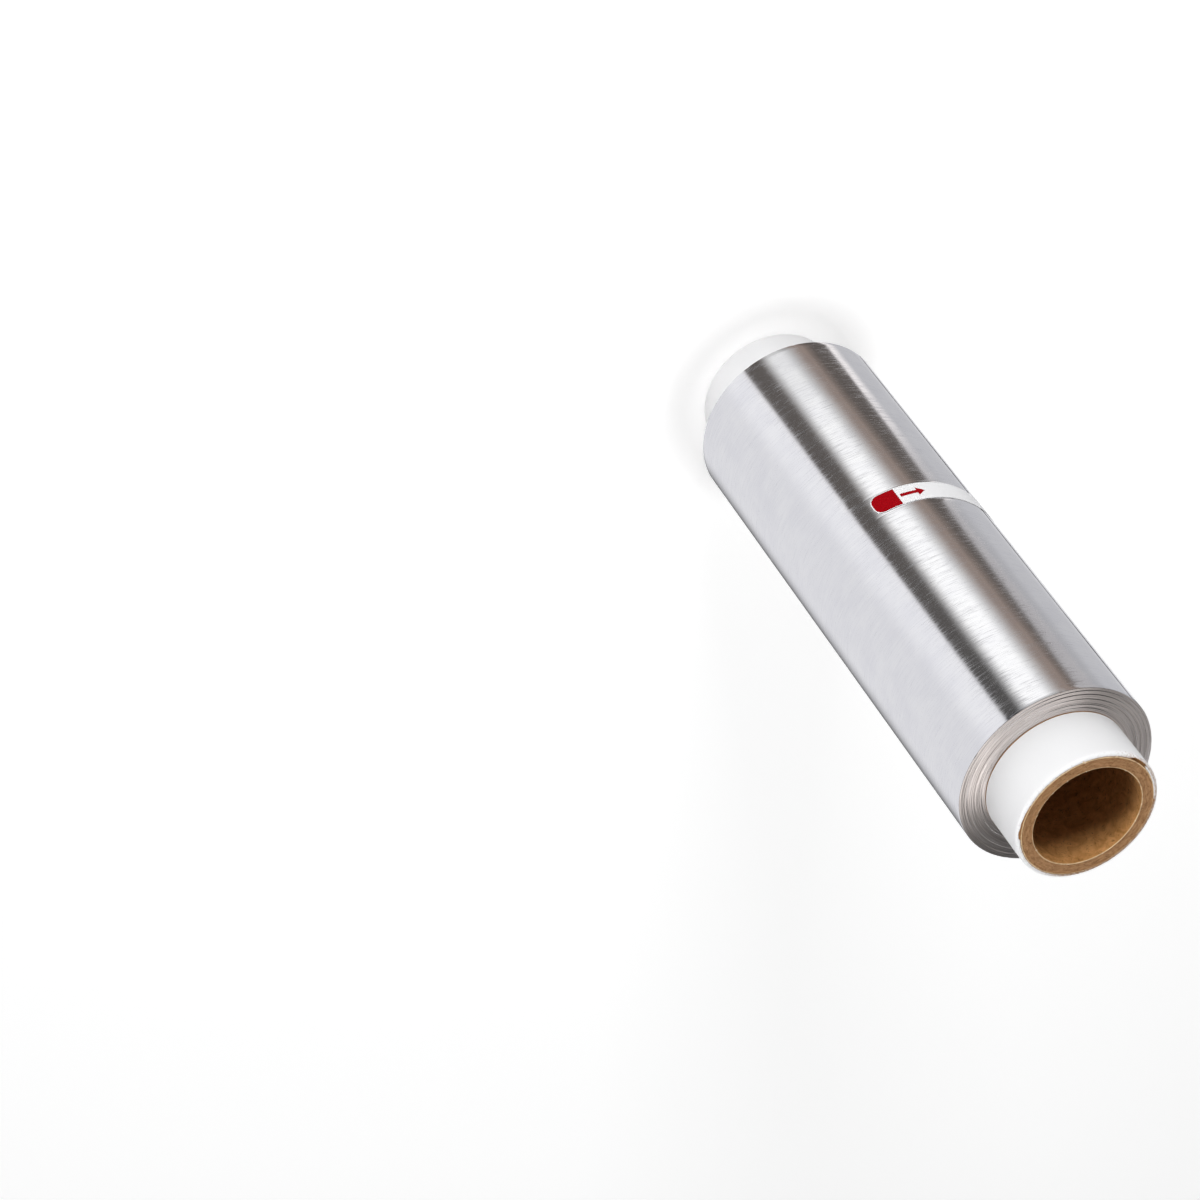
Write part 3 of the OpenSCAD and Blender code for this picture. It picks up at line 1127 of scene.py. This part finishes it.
    def outline(self) -> tuple[np.ndarray, np.ndarray, np.ndarray]:
        """Radius, height, and wear and painted shade of the facing's closed outline at every step round
        it.
        """
        s = self.sizes
        low_r, low_drop, low_wear = self._rim(End.LOWER)
        high_r, high_drop, high_wear_and_shade = self._rim(End.UPPER)
        high = s.core_high - high_drop
        wall = np.linspace(0, 1, self.wall_points + 2)[1:-1]
        inner = high[:, :1] + (low_drop[:, :1] - high[:, :1]) * wall
        near_foil = [face + side * self.seam
                     for face in (s.foil_low, s.foil_high) for side in (-1.5, -1, 1, 1.5)]
        plain = np.linspace(self.wall_margin, s.core_high - self.wall_margin, self.wall_points)
        outer = np.tile(np.sort(np.concatenate([plain, near_foil])), (self.steps, 1))
        from_foil = np.minimum(np.abs(outer - s.foil_low), np.abs(outer - s.foil_high))
        radius = np.concatenate([low_r, np.full(outer.shape, s.core_r), high_r[:, ::-1],
                                 np.full(inner.shape, s.tube_r)], 1)
        height = np.concatenate([low_drop, outer, high[:, ::-1], inner], 1)
        rubbed = self.seam_wear * (from_foil < 1.2 * self.seam)
        wear_and_painted_light = np.concatenate([low_wear, rubbed, high_wear_and_shade[:, ::-1], np.zeros(inner.shape)], 1)
        return radius, height, wear_and_painted_light

    def build(self, winder: Winder) -> bpy.types.Object:
        """Makes the facing.

        Args:
            winder: Tree that winds it up.

        Returns:
            The finished piece.
        """
        mesh = outline_mesh("core_facing_flat", *self.outline())
        facing = winder.wind(mesh, "white_facing", WhiteFacing().build(), relief=self.relief,
                             outer_radius=self.sizes.core_r)
        return register(facing, Slot.FACING, "core_facing")


@dataclass
class FoilWinding:
    """The wound foil: a smooth side, and end faces that show the turns as bands.

    The bands lie calmer from one angle to another, and the edges of the faces are dented at each
    knock. These angles are in degrees.
    """

    sizes: RollSizes
    steps: int = 400
    side_points: int = 60
    side_margin: float = 3 * MM
    band_count: int = 14
    band_points: tuple[float, ...] = (0.03, 0.25, 0.5, 0.75, 0.97)
    band_height: float = 0.22 * MM
    band_waver: float = 0.3
    band_swing: float = 0.4
    calm_from: float = -65.0
    calm_to: float = 5.0
    calm_feather: float = 50.0
    calm_share: float = 0.65
    edge_soft: float = 0.3 * MM
    corner_points: int = 5
    press_depth: float = 0.03 * MM
    press_away: float = 0.9 * MM
    press_width: float = 0.35 * MM
    press_feather: float = 3.0
    knocks: tuple[float, ...] = (-148.0, -120.0, -89.0, -61.0, -12.0, 33.0, 96.0, 151.0)
    knock_width: float = 1.6
    knock_growth: float = 1.3
    relief: Relief = field(default_factory=lambda: Relief(
        dent_depth=0.1 * MM, dent_length=45 * MM, dent_turn=2.2,
        band_height=0.2 * MM, band_width=0.55 * MM, band_turn=1.1, seed=8.0))

    def _bands(self) -> tuple[np.ndarray, np.ndarray]:
        """Radius of each point across an end face, and the number of the band that it is in."""
        s = self.sizes
        number = np.arange(self.band_count + 1)
        depth = (s.roll_r - s.core_r) / self.band_count
        edge = s.core_r + depth * (number + self.band_waver * np.sin(number * GOLDEN_ANGLE * 2))
        edge[0], edge[-1] = s.core_r, s.roll_r - self.edge_soft
        radius = (edge[:-1, None] + np.diff(edge)[:, None] * np.array(self.band_points)).ravel()
        band = np.repeat(number[:-1], len(self.band_points))
        radius[0], radius[-1] = edge[0], edge[-1]
        return radius, band

    def _side(self) -> tuple[np.ndarray, np.ndarray]:
        """Height and radius of the side's points, with the lines that the label's edges press in."""
        s = self.sizes
        offsets = self.press_away + self.press_width * np.array([-2, -1, 0, 1, 2])
        near_label = np.concatenate([s.label_low - offsets, s.label_high + offsets])
        plain = np.linspace(s.foil_low + self.side_margin, s.foil_high - self.side_margin,
                            self.side_points)
        height = np.tile(np.sort(np.concatenate([plain, near_label])), (self.steps, 1))
        angle = np.arange(self.steps)[:, None] * 360 / self.steps
        covered = smooth_window(angle, s.tail_angle - s.degrees(s.label_back), s.tab_angle,
                                self.press_feather)
        away = np.minimum(np.abs(height - s.label_low + self.press_away),
                          np.abs(height - s.label_high - self.press_away))
        press = covered * np.exp(-(away / self.press_width) ** 2)
        return height, s.roll_r - self.press_depth * press

    def outline(self) -> tuple[np.ndarray, np.ndarray]:
        """Radius and height of the winding's closed outline at every step round it."""
        s = self.sizes
        angle = np.arange(self.steps)[:, None] * math.tau / self.steps
        radius, band = self._bands()
        calm = 1 - self.calm_share * smooth_window(
            np.degrees(angle), self.calm_from, self.calm_to, self.calm_feather)
        swing = 1 - self.band_swing + self.band_swing * np.sin(angle + band * GOLDEN_ANGLE * 3)
        rise = self.band_height * np.sin(band * GOLDEN_ANGLE) * swing * calm
        low = s.foil_low + self.band_height + rise
        high = s.foil_high - self.band_height + rise
        turn = np.linspace(0, math.pi / 2, self.corner_points)[1:]
        knocked = sum(smooth_window(np.degrees(angle), k, k, self.knock_width) for k in self.knocks)
        soft = self.edge_soft * (1 + self.knock_growth * knocked)
        corner_r = s.roll_r - soft * (1 - np.sin(turn))
        corner_drop = soft * (1 - np.cos(turn))
        low_corner = low[:, -1:] + corner_drop
        high_corner = high[:, -1:] - corner_drop
        side, side_r = self._side()
        inner = high[:, :1] + (low[:, :1] - high[:, :1]) * np.array([0.33, 0.66])
        ones = np.ones((self.steps, 1))
        radii = np.concatenate([radius * ones, corner_r, side_r,
                                corner_r[:, ::-1], radius[::-1] * ones,
                                np.full(inner.shape, s.core_r)], 1)
        heights = np.concatenate([low, low_corner, side, high_corner[:, ::-1], high[:, ::-1], inner], 1)
        return radii, heights

    def build(self, winder: Winder, foil: bpy.types.Material,
              edges: bpy.types.Material) -> bpy.types.Object:
        """Makes the winding.

        Args:
            winder: Tree that winds it up.
            foil: Finish of the side.
            edges: Finish of the end faces.

        Returns:
            The finished piece.
        """
        mesh = outline_mesh("winding_flat", *self.outline())
        winding = winder.wind(mesh, "wound_foil", foil, edges, self.relief, self.sizes.roll_r)
        return register(winding, Slot.FOIL, "foil_winding")


@dataclass
class FreeEdge:
    """End of the last turn, sprung off the roll in soft waves."""

    sizes: RollSizes
    thickness: float = 0.03 * MM
    columns: int = 40
    rows: int = 150
    end_inset: float = 0.5 * MM
    root_sink: float = 0.1 * MM
    bed: float = 0.06 * MM
    wave_length: float = 17 * MM
    swell_length: float = 41 * MM
    swell_start: float = 1.3
    wave_share: float = 0.45

    def build(self, winder: Winder, foil: bpy.types.Material) -> bpy.types.Object:
        """Makes the sheet.

        Args:
            winder: Tree that winds it up.
            foil: Finish of the foil.

        Returns:
            The finished piece.
        """
        s = self.sizes
        behind = np.linspace(s.tail_reach, 0, self.columns)
        angle = np.radians(s.tail_angle) - behind / s.roll_r
        height = np.linspace(s.foil_low + self.end_inset, s.foil_high - self.end_inset, self.rows)
        away, along = np.meshgrid(behind, height, indexing="ij")
        share = away / s.tail_reach
        swell = np.sin(along / self.swell_length + self.swell_start)
        wave = 0.5 + 0.5 * np.sin(along / self.wave_length) * swell
        free = 1 - self.wave_share * wave * (1 - share)
        lift = s.tail_height(away) * free - self.root_sink * share ** 2
        inner = s.roll_r + lift - self.bed
        mesh = sheet_mesh("free_edge_flat", angle, along, inner, inner + self.thickness)
        return register(winder.wind(mesh, "foil_free_edge", foil), Slot.FOIL, "foil_winding")


@dataclass
class ClosingLabel:
    """Paper label over the free edge, with a rounded pull tab, a red field and an arrow."""

    sizes: RollSizes
    paper: float = 0.12 * MM
    ink: float = 0.02 * MM
    ink_from: float = 0.9
    bed: float = 0.03 * MM
    corner: float = 5.2 * MM
    margin: float = 0.5 * MM
    field_length: float = 13.4 * MM
    arrow_gap: float = 1.4 * MM
    arrow_length: float = 13.2 * MM
    head_length: float = 4.2 * MM
    head_width: float = 6.4 * MM
    shoulder: float = 0.04 * MM
    tip_half_width: float = 0.05 * MM
    shaft_width: float = 2.3 * MM
    rows: int = 13

    def seat(self, distance: np.ndarray) -> np.ndarray:
        """Height above the roll that the label lies on, by the distance back from the tab's end."""
        s = self.sizes
        behind = distance - s.label_front
        climb = np.clip(1 + behind / s.label_bridge, 0, 1)
        climb = climb * climb * (3 - 2 * climb)
        return np.where(behind < 0, s.tail_lift * climb, s.tail_height(behind)) - self.bed * climb

    def _strip(self, name: str, distance: np.ndarray, half_width: np.ndarray, low: float,
               high: float) -> bpy.types.Mesh:
        """Unrolled mesh of a strip on the label.

        Args:
            name: Name of the mesh.
            distance: Distance back from the tab's end at each column, rising.
            half_width: Half the strip's width there.
            low: Height of the strip's inner side above the surface that the label lies on.
            high: Height of its outer side.

        Returns:
            The mesh.
        """
        s = self.sizes
        angle = math.radians(s.tab_angle) - distance[::-1] / s.roll_r
        share = np.linspace(-1, 1, self.rows)
        height = s.label_middle + half_width[::-1, None] * share
        seat = np.repeat((s.roll_r + self.seat(distance[::-1]))[:, None], self.rows, 1)
        return sheet_mesh(name, angle, height, seat + low, seat + high)

    def _rounded(self, length: float, half: float, radius: float, bend_points: int,
                 rest_points: int) -> tuple[np.ndarray, np.ndarray]:
        """Form of a strip with rounded corners at one end.

        Args:
            length: Length of the strip.
            half: Half its full width.
            radius: Radius of its corners.
            bend_points: Number of columns along the corners.
            rest_points: Number of columns from there to its other end.

        Returns:
            Distance of each column from the rounded end, and half the strip's width there.
        """
        bend = radius * (1 - np.cos(np.linspace(0, math.pi / 2, bend_points)))
        rest = np.linspace(radius, length, rest_points)[1:]
        distance = np.concatenate([bend, rest])
        inside = np.clip(radius - distance, 0, radius)
        return distance, half - radius + np.sqrt(radius * radius - inside * inside)

    def _paper(self) -> bpy.types.Mesh:
        """Unrolled paper strip, from the tab to its square end."""
        s = self.sizes
        along, half = self._rounded(s.label_front + s.label_back, s.label_width / 2, self.corner,
                                    14, 150)
        return self._strip("label_paper_flat", along, half, 0, self.paper)

    def _field(self) -> bpy.types.Mesh:
        """Unrolled red field, which follows the tab's outline at an even margin."""
        along, half = self._rounded(self.field_length, self.sizes.label_width / 2 - self.margin,
                                    self.corner - self.margin, 12, 20)
        return self._strip("label_field_flat", along + self.margin, half, self.paper * self.ink_from,
                           self.paper + self.ink)

    def _arrow(self) -> bpy.types.Mesh:
        """Unrolled arrow: its shaft, then its head, which tapers away from the tab."""
        start = self.margin + self.field_length + self.arrow_gap
        tip = start + self.arrow_length
        neck = tip - self.head_length
        shaft = np.linspace(start, neck, 16)
        head = np.linspace(neck + self.shoulder, tip, 10)
        taper = np.linspace(self.head_width / 2, self.tip_half_width, head.size)
        half = np.concatenate([np.full(shaft.size, self.shaft_width / 2), taper])
        return self._strip("label_arrow_flat", np.concatenate([shaft, head]), half,
                           self.paper * self.ink_from, self.paper + self.ink)

    def build(self, winder: Winder) -> list[bpy.types.Object]:
        """Makes the paper, the field and the arrow.

        Args:
            winder: Tree that winds them up.

        Returns:
            The three finished pieces.
        """
        ink = RedInk().build()
        pieces = [
            winder.wind(self._paper(), "label_paper", LabelPaper().build()),
            winder.wind(self._field(), "label_field", ink),
            winder.wind(self._arrow(), "label_arrow", ink),
        ]
        return [register(piece, Slot.LABEL, "closing_label") for piece in pieces]


def direction(azimuth: float, elevation: float) -> Vector:
    """Makes a vector of length 1 that points away from the roll.

    Args:
        azimuth: Angle round the axis, in degrees from +X.
        elevation: Angle above the floor, in degrees.

    Returns:
        The vector.
    """
    a, e = math.radians(azimuth), math.radians(elevation)
    return Vector((math.cos(e) * math.cos(a), math.cos(e) * math.sin(a), math.sin(e)))


@dataclass(frozen=True)
class StudioPanel:
    """A soft pale panel that the foil reflects, by its place round the roll.

    Angles are in degrees round the axis from the side that the camera is on, growing towards the
    roll's free edge. The feathers are the widths over which its two edges fade.
    """

    start: float
    end: float
    level: float
    tint: str = "#ffffff"
    start_feather: float = 4.0
    end_feather: float = 4.0
    lean: float = 0.0
    low: float = -90.0
    high: float = 90.0
    height_feather: float = 10.0


@dataclass(frozen=True)
class StudioLamp:
    """A square soft lamp, by its direction from the roll in degrees."""

    name: str
    azimuth: float
    elevation: float
    size: float
    watts: float
    distance: float = 1.8

    def build(self, aim: Vector) -> None:
        """Makes the lamp.

        Args:
            aim: Point that it shines at.
        """
        data = bpy.data.lights.new(self.name, "AREA")
        data.size = self.size
        data.energy = self.watts
        lamp = add_object(self.name, data)
        toward = direction(self.azimuth, self.elevation)
        lamp.matrix_world = (Matrix.Translation(aim + toward * self.distance)
                             @ toward.to_track_quat("Z", "Y").to_matrix().to_4x4())
        lamp.visible_glossy = False


@dataclass
class Studio:
    """Pale floor, soft light and the panels that show in the foil.

    Rays that a surface mirrors meet the foil's panels on a dark ground, and all other light comes
    from the room's panels on a dim one. A leaning panel slants only near one slope of the rays.
    The front is the side that the camera is on, in degrees from +X.
    """

    front: float = -90.0
    dark: float = 0.075
    shade: float = 0.05
    lean_pivot: float = -46.2
    lean_below: float = 0.6
    lean_above: float = 6.0
    floor_size: float = 30.0
    floor_colour: str = "#eaeaea"
    floor_glow: float = 0.5
    far_glow: float = 0.5
    far_from: float = 0.8
    far_to: float = 3.5
    lamp_aim: tuple[float, float, float] = (0.0, 0.0, 0.2)
    lamps: tuple[StudioLamp, ...] = (
        StudioLamp("key_lamp", azimuth=-117, elevation=16, size=0.5, watts=13.5),
        StudioLamp("top_lamp", azimuth=-95, elevation=90, size=0.12, watts=15),
    )
    foil_panels: tuple[StudioPanel, ...] = (
        StudioPanel(-152, -7, 0.78, "#f7f7fb", start_feather=50, end_feather=5, high=8),
        StudioPanel(-38, -9, 0.12, start_feather=24, end_feather=8, high=8),
        StudioPanel(-12, 22, 0.05, "#f2d0b8", start_feather=6, end_feather=12, high=-45,
                    height_feather=4),
        StudioPanel(20.5, 52, 0.58, start_feather=18, end_feather=28, lean=1.1, high=12),
        StudioPanel(20.5, 52, 0.5, start_feather=17, end_feather=24, lean=1.1, low=-46.6,
                    height_feather=1.9, high=-36),
        StudioPanel(55, 70, 0.28, "#e6cabb", start_feather=16, end_feather=10, high=12),
        StudioPanel(68, 78, 0.1, "#e6cabb", end_feather=8, high=12),
        StudioPanel(67, 101, 0.042, "#ffd2b0", start_feather=8, end_feather=8, high=12),
        StudioPanel(99.5, 200, 0.42, "#f3f3f8", start_feather=5, lean=3.9, high=10),
        StudioPanel(112, 200, 0.12, "#f3f3f8", start_feather=16, high=10),
        StudioPanel(156, 200, 0.26, start_feather=26, high=10),
        StudioPanel(-184, -173, 0.85, end_feather=7, high=10),
        StudioPanel(99.5, 112, 0.62, "#fff6f0", start_feather=5, end_feather=12, lean=3.9, high=-46.4,
                    height_feather=1.2),
        StudioPanel(-157, -110, 1.75, "#fbf8f6", start_feather=14, end_feather=30, low=50,
                    height_feather=14),
        StudioPanel(110, 181, 1.15, "#fbf8f6", start_feather=40, low=63, height_feather=12),
        StudioPanel(-110, 110, 0.8, "#fbf8f6", start_feather=30, end_feather=30, low=68,
                    height_feather=16),
        StudioPanel(130, 178, 0.4, "#fbf8f6", start_feather=20, end_feather=10, low=22,
                    height_feather=6, high=45),
    )
    room_panels: tuple[StudioPanel, ...] = (
        StudioPanel(-181, 181, 0.1, high=30, height_feather=24),
        StudioPanel(-95, 70, 1.8, start_feather=40, end_feather=50, high=6, height_feather=12),
        StudioPanel(-130, -45, 3.25, start_feather=40, end_feather=40, high=6, height_feather=12),
        StudioPanel(100, 181, 1.2, start_feather=50, high=4, height_feather=12),
        StudioPanel(-181, -125, 1.2, end_feather=40, high=4, height_feather=12),
    )

    def _panel_light(self, tree: bpy.types.NodeTree, panel: StudioPanel, azimuth: bpy.types.Node,
                     elevation: bpy.types.Node) -> bpy.types.Node:
        """Adds the light of one panel.

        Args:
            tree: The world's node tree.
            panel: The panel.
            azimuth: Direction of a ray round the axis, in degrees.
            elevation: Its slope above the horizon, in degrees.

        Returns:
            Node whose first output is the panel's colour in that direction.
        """
        above = add_node(tree, "ShaderNodeMath", {0: elevation, 1: self.lean_pivot},
                         operation="SUBTRACT")
        held = add_node(tree, "ShaderNodeClamp", {
            "Value": above, "Min": -self.lean_below, "Max": self.lean_above})
        leant = add_node(tree, "ShaderNodeMath", {0: held, 1: panel.lean, 2: azimuth},
                         operation="MULTIPLY_ADD")
        edges = (
            (leant, panel.start - panel.start_feather / 2, panel.start_feather, 1.0),
            (azimuth, panel.end - panel.end_feather / 2, panel.end_feather, 0.0),
            (elevation, panel.low - panel.height_feather, panel.height_feather, 1.0),
            (elevation, panel.high, panel.height_feather, 0.0),
        )
        start, end, bottom, top = (add_node(tree, "ShaderNodeMapRange", {
            0: place, 1: first, 2: first + feather, 3: 1.0 - beyond, 4: beyond},
            interpolation_type="SMOOTHSTEP") for place, first, feather, beyond in edges)
        across = add_node(tree, "ShaderNodeMath", {0: start, 1: end}, operation="MULTIPLY")
        upright = add_node(tree, "ShaderNodeMath", {0: bottom, 1: top}, operation="MULTIPLY")
        share = add_node(tree, "ShaderNodeMath", {0: across, 1: upright}, operation="MULTIPLY")
        colour = [panel.level * c for c in linear(panel.tint)[:3]]
        return add_node(tree, "ShaderNodeVectorMath", {0: colour, "Scale": share}, operation="SCALE")

    def _total_light(self, tree: bpy.types.NodeTree, base: float, panels: tuple[StudioPanel, ...],
                     azimuth: bpy.types.Node, elevation: bpy.types.Node) -> bpy.types.Node:
        """Adds the light of several panels on top of an even one.

        Args:
            tree: The world's node tree.
            base: Level of the even light.
            panels: The panels.
            azimuth: Direction of a ray round the axis, in degrees.
            elevation: Its slope above the horizon, in degrees.

        Returns:
            Node whose first output is the whole light in that direction.
        """
        total: Any = (base, base, base)
        for panel in panels:
            light = self._panel_light(tree, panel, azimuth, elevation)
            total = add_node(tree, "ShaderNodeVectorMath", {0: total, 1: light}, operation="ADD")
        return total

    def build_world(self) -> None:
        """Makes the surroundings: white to the camera, panels in the foil, even light elsewhere."""
        world = bpy.data.worlds.new("studio")
        bpy.context.scene.world = world
        world.use_nodes = True
        world.cycles.sampling_method = "NONE"
        tree = world.node_tree
        tree.nodes.clear()
        place = add_node(tree, "ShaderNodeTexCoord").outputs["Generated"]
        ray = add_node(tree, "ShaderNodeSeparateXYZ", {0: place}).outputs
        heading = add_node(tree, "ShaderNodeMath", {0: ray[1], 1: ray[0]}, operation="ARCTAN2")
        degrees = add_node(tree, "ShaderNodeMath", {0: heading}, operation="DEGREES")
        turned = add_node(tree, "ShaderNodeMath", {0: self.front, 1: degrees}, operation="SUBTRACT")
        azimuth = add_node(tree, "ShaderNodeMath", {0: turned, 1: 180.0, 2: -180.0}, operation="WRAP")
        slope = add_node(tree, "ShaderNodeMath", {0: ray[2]}, operation="ARCSINE")
        elevation = add_node(tree, "ShaderNodeMath", {0: slope}, operation="DEGREES")
        in_foil = self._total_light(tree, self.dark, self.foil_panels, azimuth, elevation)
        in_room = self._total_light(tree, self.shade, self.room_panels, azimuth, elevation)
        path = add_node(tree, "ShaderNodeLightPath")
        shown = add_node(tree, "ShaderNodeMix", {
            0: path.outputs["Is Glossy Ray"], 6: in_room, 7: in_foil}, data_type="RGBA")
        seen = add_node(tree, "ShaderNodeMix", {
            0: path.outputs["Is Camera Ray"], 6: shown.outputs[2], 7: (1, 1, 1, 1)}, data_type="RGBA")
        background = add_node(tree, "ShaderNodeBackground", {"Color": seen.outputs[2]})
        add_node(tree, "ShaderNodeOutputWorld", {"Surface": background})

    def build_floor(self) -> None:
        """Makes the floor, which looks white and keeps the roll's shadow."""
        half = self.floor_size / 2
        mesh = bpy.data.meshes.new("floor")
        mesh.from_pydata([(-half, -half, 0), (half, -half, 0), (half, half, 0), (-half, half, 0)], [],
                         [(0, 1, 2, 3)])
        floor = add_object("floor", mesh)
        material, tree = new_material("pale_floor")
        diffuse = add_node(tree, "ShaderNodeBsdfDiffuse", {"Color": linear(self.floor_colour)})
        path = add_node(tree, "ShaderNodeLightPath")
        place = add_node(tree, "ShaderNodeTexCoord").outputs["Object"]
        away = add_node(tree, "ShaderNodeVectorMath", {0: place}, operation="LENGTH").outputs["Value"]
        glow_there = add_node(tree, "ShaderNodeMapRange", {
            0: away, 1: self.far_from, 2: self.far_to,
            3: self.floor_glow, 4: self.floor_glow + self.far_glow}, interpolation_type="SMOOTHSTEP")
        strength = add_node(tree, "ShaderNodeMath", {
            0: path.outputs["Is Camera Ray"], 1: glow_there}, operation="MULTIPLY")
        glow = add_node(tree, "ShaderNodeEmission", {"Color": (1, 1, 1, 1), "Strength": strength})
        both = add_node(tree, "ShaderNodeAddShader", {0: diffuse, 1: glow})
        add_node(tree, "ShaderNodeOutputMaterial", {"Surface": both})
        mesh.materials.append(material)
        floor.visible_glossy = False

    def build(self) -> None:
        """Makes the whole studio."""
        self.build_world()
        self.build_floor()
        for lamp in self.lamps:
            lamp.build(Vector(self.lamp_aim))


@dataclass(frozen=True)
class PhotoCamera:
    """Camera at the photograph's viewing angle. The roll leans across its picture."""

    aim: tuple[float, float, float] = (139.4 * MM, 47.5 * MM, 0.0)
    azimuth: float = -95.5
    elevation: float = 46.348
    distance: float = 2120.0 * MM
    roll: float = 146.919
    view_angle: float = 17.352

    def build(self) -> None:
        """Makes the camera and sets it as the scene's."""
        data = bpy.data.cameras.new("photo_camera")
        data.angle = math.radians(self.view_angle)
        camera = add_object("photo_camera", data)
        back = direction(self.azimuth, self.elevation)
        level = Vector((0, 0, 1)).cross(back).normalized()
        upright = back.cross(level)
        turn = math.radians(self.roll)
        right = level * math.cos(turn) + upright * math.sin(turn)
        above = back.cross(right)
        pose = Matrix((right, above, back)).transposed().to_4x4()
        pose.translation = Vector(self.aim) + back * self.distance
        camera.matrix_world = pose
        bpy.context.scene.camera = camera


def main() -> None:
    """Builds the roll and its studio, and reports each piece."""
    logging.basicConfig(level=logging.INFO, format="%(name)s: %(message)s")
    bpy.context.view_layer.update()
    sizes = RollSizes.from_frame(frame["record"])
    winder = Winder()
    foil = RolledFoil().build()
    CoreTube(sizes).build(winder)
    RimTufts(sizes).build()
    CoreFacing(sizes).build(winder)
    FoilWinding(sizes).build(winder, foil, SlitFoilEdges().build())
    FreeEdge(sizes).build(winder, foil)
    ClosingLabel(sizes).build(winder)
    Studio().build()
    PhotoCamera().build()
    bpy.context.scene.view_settings.view_transform = "Standard"


if __name__ == "__main__":
    main()
